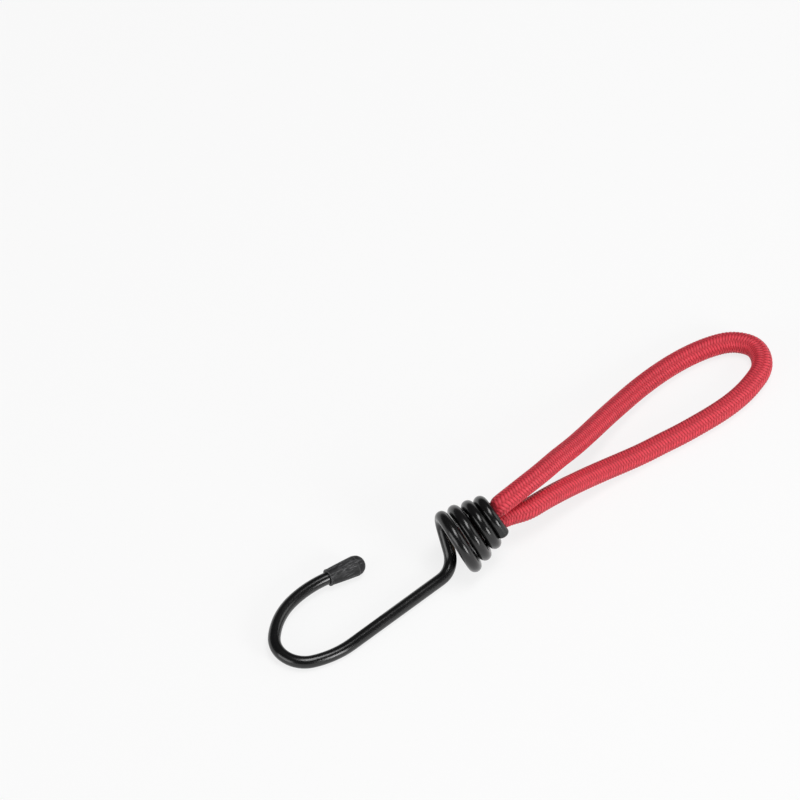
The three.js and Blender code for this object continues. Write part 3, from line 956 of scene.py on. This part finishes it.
def paleLatex():
    made, nodes, shader = material("natural_latex", latex)
    shader.inputs["Subsurface Weight"].default_value = latex["glow"]
    shader.inputs["Subsurface Scale"].default_value = latex["glowDepth"]
    place = nodes.place()
    cloud = nodes.noise(place, latex["cloudSize"], 4, 0.6)
    tone = nodes.ramp(cloud, (0.3, latex["darkest"]), (0.7, latex["palest"]))
    nodes.plug(tone, shader.inputs["Base Color"])
    grain = nodes.noise(place, latex["grainSize"], 3)
    nodes.plug(nodes.bump(grain, latex["grainDepth"], 0.6), shader.inputs["Normal"])
    return made


threads = latexCore()
dress(threads, paleLatex())
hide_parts(*[f"core_strand_{i}" for i in range(1, 8)])
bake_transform(threads)
print("stage: latex")

band = {
    "station": 3.0 * mm,
    "width": 3.2 * mm,
    "thickness": 0.9 * mm,
    "clearance": 0.25 * mm,
    "edge": 0.28 * mm,
    "edgeSteps": 4,
    "steps": 120,
    "seamDepth": 0.3 * mm,
    "seamWidth": 0.22 * mm,
    "dentDepth": 0.28 * mm,
    "dentWidth": 1.1 * mm,
    "dentSpread": 0.28,  # of the band's width
}


def crimpBand():
    legCentre = cord["clampedHalfHeight"] + cord["legGap"] / 2
    sideways = np.cross(endUpward, windingAxis)

    def outlineAt(growth):
        width, height = cord["clampedHalfWidth"] + growth, cord["clampedHalfHeight"] + growth
        arc = np.linspace(0, math.pi, band["steps"] // 3)
        top = np.stack([width * np.cos(arc), legCentre + height * np.sin(arc)], axis=1)
        sides = np.linspace(legCentre, -legCentre, band["steps"] // 6 + 2)[1:-1]
        left = np.stack([np.full(len(sides), -width), sides], axis=1)
        return np.concatenate([top, left, -top, -left])

    inner, outer = outlineAt(band["clearance"]), outlineAt(band["clearance"] + band["thickness"])
    edge, width, thickness = band["edge"], band["width"], band["thickness"]
    deep, wide = thickness - edge, width - edge
    corners = (deep, wide), (edge, wide), (edge, edge), (deep, edge)
    section = []  # depth through the band and place across its width, round one rounded section
    for quarter, (depth, place) in enumerate(corners):
        for i in range(band["edgeSteps"] + 1):
            angle = (quarter + i / band["edgeSteps"]) * math.pi / 2
            section.append((depth + edge * math.cos(angle), place + edge * math.sin(angle)))
    rings = []
    for near, far in zip(inner, outer):
        seam = math.exp(-(near[0] / band["seamWidth"]) ** 2) if near[1] < 0 else 0  # under the lower leg
        dent = math.exp(-(near[1] / band["dentWidth"]) ** 2)  # pressed in at both sides
        ring = []
        for depth, place in section:
            midway = math.exp(-((place / width - 0.5) / band["dentSpread"]) ** 2)
            pressed = band["dentDepth"] * dent * midway
            kept = 1 - (band["seamDepth"] * seam + pressed) / thickness
            spot = near + (far - near) * depth / thickness * kept
            ring.append(
                windingCentre
                + windingAxis * (band["station"] + place)
                + sideways * spot[0]
                + endUpward * spot[1]
            )
        rings.append(ring)
    rings = np.array(rings)
    count, sides = rings.shape[:2]
    faces = shellFaces(count, sides).tolist()
    last = (count - 1) * sides
    faces += [[last + i, last + (i + 1) % sides, (i + 1) % sides, i] for i in range(sides)]
    return meshObject("steel_crimp_band", inFrame(rings.reshape(-1, 3)), faces)


zinc = {
    # painted shade: the plating is darker than zinc, since the band lies in the shade inside the turns
    "color": (0.2, 0.205, 0.215),
    "darkest": (0.14, 0.145, 0.15),
    "palest": (0.26, 0.265, 0.28),
    "roughness": 0.5,
    "roughnessSpan": (0.42, 0.62),
    "specular": 0.5,
    "cloudSize": 1.5 * mm,
    "grainSize": 0.12 * mm,
    "grainDepth": 0.01 * mm,
}


def zincSteel():
    made, nodes, shader = material("zinc_band_in_painted_shade", zinc)
    shader.inputs["Metallic"].default_value = 1.0
    place = nodes.place()
    grain = nodes.noise(nodes.stretched(place, (1, 0.12, 0.12)), zinc["grainSize"], 4, 0.6)
    cloud = nodes.noise(place, zinc["cloudSize"], 4, 0.6)
    tone = nodes.ramp(cloud, (0.3, zinc["darkest"]), (0.7, zinc["palest"]))
    nodes.plug(tone, shader.inputs["Base Color"])
    nodes.plug(nodes.span(grain, 0.3, 0.7, *zinc["roughnessSpan"]), shader.inputs["Roughness"])
    nodes.plug(nodes.bump(grain, zinc["grainDepth"], 0.5), shader.inputs["Normal"])
    return made


steelBand = crimpBand()
dress(steelBand, zincSteel())
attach(steelBand, "cord_ends")
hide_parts("crimp_band")
print("stage: band")

ground = {
    "height": -0.25 * mm,
    "size": 60.0,
    "color": (0.9, 0.9, 0.9),
    "roughness": 0.9,
    "specular": 0.1,
    "whiteness": 0.8,  # how far it looks plain white instead of lit
}
studio = {
    "ambient": 0.22,
    "darkCeiling": 0.08,  # what the gloss shows of the room above the horizon
    "horizonUpTo": 0.05,  # height of the white horizon on the unit sphere
    "ceilingFrom": 0.22,
    "target": vec(60, 0, 5) * mm,
    "lampDistance": 1.6,
}
lamps = {
    "top lamp": {"towards": (0.08, -0.14, 1.0), "wide": (0.87, 0.5, 0), "size": (1.0, 0.5), "power": 11.6},
    "front lamp": {"towards": (0.1, -0.93, 0.34), "wide": (1, 0, 0), "size": (0.5, 0.66), "power": 11.0},
    "left lamp": {"towards": (-0.95, 0.1, 0.22), "wide": (0, 1, 0), "size": (1.2, 0.9), "power": 9.5},
    "right lamp": {"towards": (0.8, -0.4, 0.45), "wide": (0, 1, 0), "size": (0.9, 0.7), "power": 3.2},
}


def seenRays(nodes):  # rays straight from the camera, and rays mirrored in a gloss
    rays = nodes.add("LightPath").outputs
    mirrored = nodes.math("MAXIMUM", rays["Is Glossy Ray"], rays["Is Transmission Ray"])
    return rays["Is Camera Ray"], mirrored


def addFloor():
    half = ground["size"] / 2
    corners = [(x * half, y * half, ground["height"]) for x, y in ((-1, -1), (1, -1), (1, 1), (-1, 1))]
    floor = meshObject("floor", corners, [[0, 1, 2, 3]], smooth=False)
    made, nodes, shader = material("pale_floor", ground)
    glow = nodes.add("Emission")
    mixer = nodes.add("MixShader")
    seen = nodes.math("MAXIMUM", *seenRays(nodes))
    nodes.plug(nodes.math("MULTIPLY", seen, ground["whiteness"]), mixer.inputs[0])
    nodes.plug(shader.outputs[0], mixer.inputs[1])
    nodes.plug(glow.outputs[0], mixer.inputs[2])
    nodes.plug(mixer.outputs[0], made.node_tree.nodes["Material Output"].inputs[0])
    dress(floor, made)


def addWorld():
    world = bpy.data.worlds.new("studio")
    world.use_nodes = True
    scene.world = world
    nodes = Nodes(world.node_tree)
    background = world.node_tree.nodes["Background"]
    background.inputs["Color"].default_value = (1, 1, 1, 1)
    split = nodes.add("SeparateXYZ")
    nodes.plug(nodes.add("TexCoord").outputs["Generated"], split.inputs[0])
    horizon = nodes.span(split.outputs[2], studio["horizonUpTo"], studio["ceilingFrom"], 1.0, 0.0)
    camera, mirrored = seenRays(nodes)
    room = nodes.span(mirrored, 0, 1, studio["ambient"], studio["darkCeiling"])
    white = nodes.math("MAXIMUM", camera, nodes.math("MULTIPLY", mirrored, horizon))
    nodes.plug(nodes.either(white, room, 1.0), background.inputs["Strength"])


def addLamp(name, lamp):
    data = bpy.data.lights.new(name, "AREA")
    data.shape = "RECTANGLE"
    data.size, data.size_y = lamp["size"]
    data.energy = lamp["power"]
    made = bpy.data.objects.new(name, data)
    towards = unit(vec(*lamp["towards"]))
    wide = unit(vec(*lamp["wide"]) - towards * np.dot(towards, lamp["wide"]))
    made.location = Vector(studio["target"] + towards * studio["lampDistance"])
    made.rotation_mode = "QUATERNION"
    made.rotation_quaternion = Matrix((wide, np.cross(towards, wide), towards)).transposed().to_quaternion()
    scene.collection.objects.link(made)


addFloor()
addWorld()
for name, lamp in lamps.items():
    addLamp(name, lamp)
print("stage: studio")
